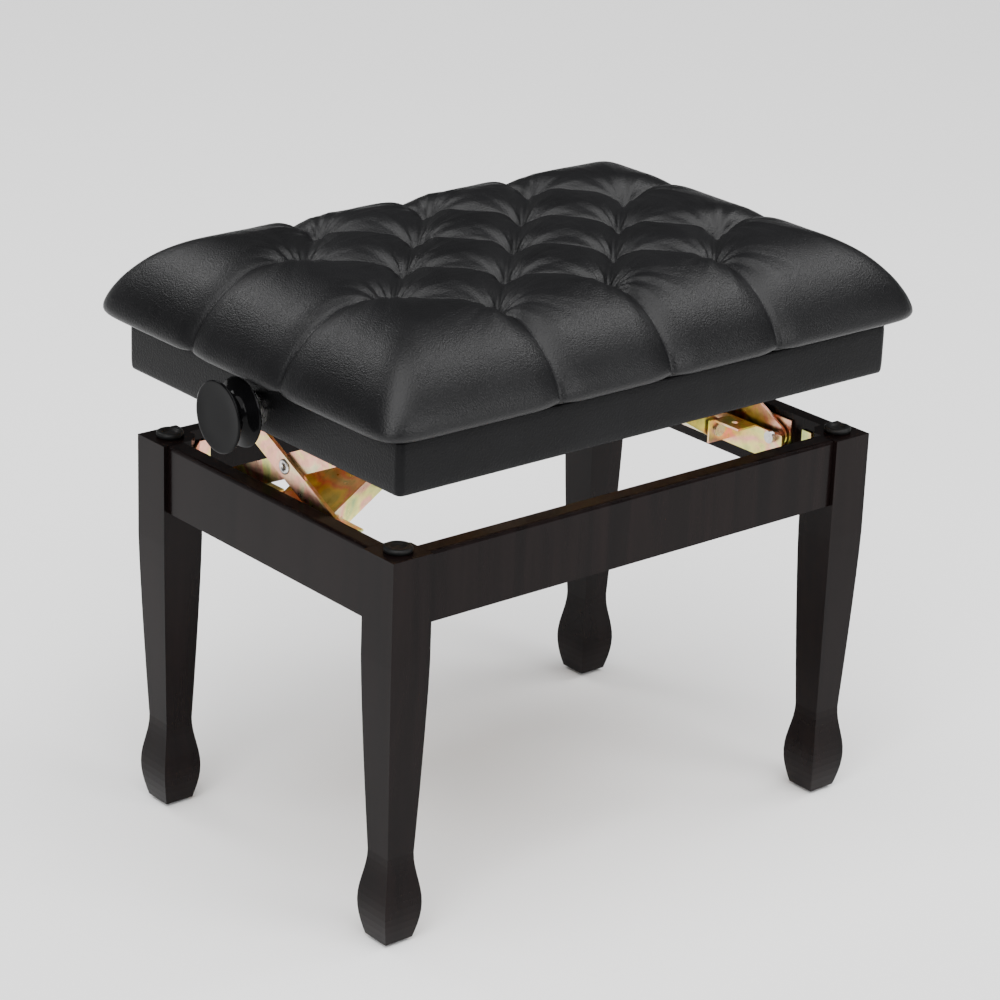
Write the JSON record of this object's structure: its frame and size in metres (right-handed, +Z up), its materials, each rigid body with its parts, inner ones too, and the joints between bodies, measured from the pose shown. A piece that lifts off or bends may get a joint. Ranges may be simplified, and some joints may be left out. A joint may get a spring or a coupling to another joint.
{
  "type": "piano bench",
  "caption": "Height-adjustable piano bench with a tufted leather seat on scissor arms, raised by turning a side knob.",
  "frame": {"origin": "on the floor at the middle of the bench", "axes": "+Z up, +X along the long side towards the right-hand knob, -Y the front"},
  "size_m": [0.604, 0.408, 0.52],
  "materials": {
    "leg_front_left": "black satin lacquer",
    "leg_front_right": "black satin lacquer",
    "leg_rear_left": "black satin lacquer",
    "leg_rear_right": "black satin lacquer",
    "apron_front": "black satin lacquer",
    "apron_rear": "black satin lacquer",
    "apron_left": "black satin lacquer",
    "apron_right": "black satin lacquer",
    "foot_glide_front_left": "matt",
    "foot_glide_front_right": "matt",
    "foot_glide_rear_left": "matt",
    "foot_glide_rear_right": "matt",
    "bumper_front_left": "matt",
    "bumper_front_right": "matt",
    "bumper_rear_left": "matt",
    "bumper_rear_right": "matt",
    "corner_brace_front_left": "yellow zinc plated",
    "corner_brace_front_right": "yellow zinc plated",
    "corner_brace_rear_left": "yellow zinc plated",
    "corner_brace_rear_right": "yellow zinc plated",
    "lower_bracket_left": "yellow zinc plated",
    "lower_bracket_right": "yellow zinc plated",
    "upper_bracket_left": "yellow zinc plated",
    "upper_bracket_right": "yellow zinc plated",
    "arm_a_left": "yellow zinc plated",
    "arm_a_right": "yellow zinc plated",
    "arm_b_left": "yellow zinc plated",
    "arm_b_right": "yellow zinc plated",
    "strut_left": "yellow zinc plated",
    "strut_right": "yellow zinc plated",
    "corner_bolt_front_left": "bright zinc plated",
    "corner_bolt_front_right": "bright zinc plated",
    "corner_bolt_rear_left": "bright zinc plated",
    "corner_bolt_rear_right": "bright zinc plated",
    "arm_bolt_left": "bright zinc plated",
    "arm_bolt_right": "bright zinc plated",
    "strut_pin_left": "bright zinc plated",
    "strut_pin_right": "bright zinc plated",
    "arm_rivet_left": "bright zinc plated",
    "arm_rivet_right": "bright zinc plated",
    "nut_left": "bright zinc plated",
    "nut_right": "bright zinc plated",
    "bearing_left": "bright zinc plated",
    "bearing_right": "bright zinc plated",
    "screw": "bright zinc plated",
    "knob_left": "gloss black",
    "knob_right": "gloss black",
    "seat_rail_front": "wrapped in black leather",
    "seat_rail_rear": "wrapped in black leather",
    "seat_rail_left": "wrapped in black leather",
    "seat_rail_right": "wrapped in black leather",
    "cushion": "black leather over foam",
    "seat_panel": "bare plywood"
  },
  "bodies": {
    "frame": {"leg_front_left": "leg_front_left", "leg_front_right": "leg_front_right", "leg_rear_left": "leg_rear_left", "leg_rear_right": "leg_rear_right", "apron_front": "apron_front", "apron_rear": "apron_rear", "apron_left": "apron_left", "apron_right": "apron_right", "foot_glide_front_left": "foot_glide_front_left", "foot_glide_front_right": "foot_glide_front_right", "foot_glide_rear_left": "foot_glide_rear_left", "foot_glide_rear_right": "foot_glide_rear_right", "bumper_front_left": "bumper_front_left", "bumper_front_right": "bumper_front_right", "bumper_rear_left": "bumper_rear_left", "bumper_rear_right": "bumper_rear_right", "corner_brace_front_left": "corner_brace_front_left", "corner_brace_front_right": "corner_brace_front_right", "corner_brace_rear_left": "corner_brace_rear_left", "corner_brace_rear_right": "corner_brace_rear_right", "corner_bolt_front_left": "corner_bolt_front_left", "corner_bolt_front_right": "corner_bolt_front_right", "corner_bolt_rear_left": "corner_bolt_rear_left", "corner_bolt_rear_right": "corner_bolt_rear_right", "lower_bracket_left": "lower_bracket_left", "lower_bracket_right": "lower_bracket_right", "arm_bolt_left": "arm_bolt_left", "arm_bolt_right": "arm_bolt_right", "strut_pin_left": "strut_pin_left", "strut_pin_right": "strut_pin_right"},
    "seat": {"seat_rail_front": "seat_rail_front", "seat_rail_rear": "seat_rail_rear", "seat_rail_left": "seat_rail_left", "seat_rail_right": "seat_rail_right", "seat_panel": "seat_panel", "cushion": "cushion", "upper_bracket_left": "upper_bracket_left", "upper_bracket_right": "upper_bracket_right", "bearing_left": "bearing_left", "bearing_right": "bearing_right"},
    "first_arm_left": {"arm_a_left": "arm_a_left", "arm_rivet_left": "arm_rivet_left"},
    "second_arm_left": {"arm_b_left": "arm_b_left"},
    "strut_left": {"strut_left": "strut_left"},
    "nut_left": {"nut_left": "nut_left"},
    "first_arm_right": {"arm_a_right": "arm_a_right", "arm_rivet_right": "arm_rivet_right"},
    "second_arm_right": {"arm_b_right": "arm_b_right"},
    "strut_right": {"strut_right": "strut_right"},
    "nut_right": {"nut_right": "nut_right"},
    "screw": {"screw": "screw", "knob_left": "knob_left", "knob_right": "knob_right"}
  },
  "joints": [
    {"name": "seat_lift", "type": "slide", "parent": "frame", "child": "seat", "axis": [0, 0, 1], "range_m": [-0.0515, 0.047]},
    {"name": "first_arm_left_swing", "type": "hinge", "parent": "frame", "child": "first_arm_left", "pos_m": [0, -0.091, 0.318], "axis": [1, 0, 0], "range_deg": [-16.25, 14.83]},
    {"name": "second_arm_left_swing", "type": "hinge", "parent": "first_arm_left", "child": "second_arm_left", "pos_m": [0, -0.00039, 0.3603], "axis": [1, 0, 0], "range_deg": [-29.66, 32.5]},
    {"name": "strut_left_swing", "type": "hinge", "parent": "frame", "child": "strut_left", "pos_m": [-0.214, 0, 0.311], "axis": [0, -1, 0], "range_deg": [-17.37, 15.85]},
    {"name": "nut_left_turn", "type": "hinge", "parent": "strut_left", "child": "nut_left", "pos_m": [-0.04528, 0, 0.4184], "axis": [0, -1, 0], "range_deg": [-15.85, 17.37]},
    {"name": "first_arm_right_swing", "type": "hinge", "parent": "frame", "child": "first_arm_right", "pos_m": [0, -0.091, 0.318], "axis": [1, 0, 0], "range_deg": [-16.25, 14.83]},
    {"name": "second_arm_right_swing", "type": "hinge", "parent": "first_arm_right", "child": "second_arm_right", "pos_m": [0, -0.00039, 0.3603], "axis": [1, 0, 0], "range_deg": [-29.66, 32.5]},
    {"name": "strut_right_swing", "type": "hinge", "parent": "frame", "child": "strut_right", "pos_m": [0.214, 0, 0.311], "axis": [0, 1, 0], "range_deg": [-17.37, 15.85]},
    {"name": "nut_right_turn", "type": "hinge", "parent": "strut_right", "child": "nut_right", "pos_m": [0.04528, 0, 0.4184], "axis": [0, 1, 0], "range_deg": [-15.85, 17.37]},
    {"name": "screw_turn", "type": "hinge", "parent": "seat", "child": "screw", "pos_m": [0, 0, 0.416], "axis": [1, 0, 0], "range_deg": [-3816.73, 3483.23]}
  ],
  "couplings": [
    {"joint": "first_arm_left_swing", "follows": "seat_lift", "rad_per_m": 5.4956},
    {"joint": "second_arm_left_swing", "follows": "seat_lift", "rad_per_m": -10.991},
    {"joint": "strut_left_swing", "follows": "seat_lift", "rad_per_m": 5.8747},
    {"joint": "nut_left_turn", "follows": "seat_lift", "rad_per_m": -5.8747},
    {"joint": "first_arm_right_swing", "follows": "seat_lift", "rad_per_m": 5.4956},
    {"joint": "second_arm_right_swing", "follows": "seat_lift", "rad_per_m": -10.991},
    {"joint": "strut_right_swing", "follows": "seat_lift", "rad_per_m": 5.8747},
    {"joint": "nut_right_turn", "follows": "seat_lift", "rad_per_m": -5.8747},
    {"joint": "screw_turn", "follows": "seat_lift", "rad_per_m": 1292.8}
  ]
}
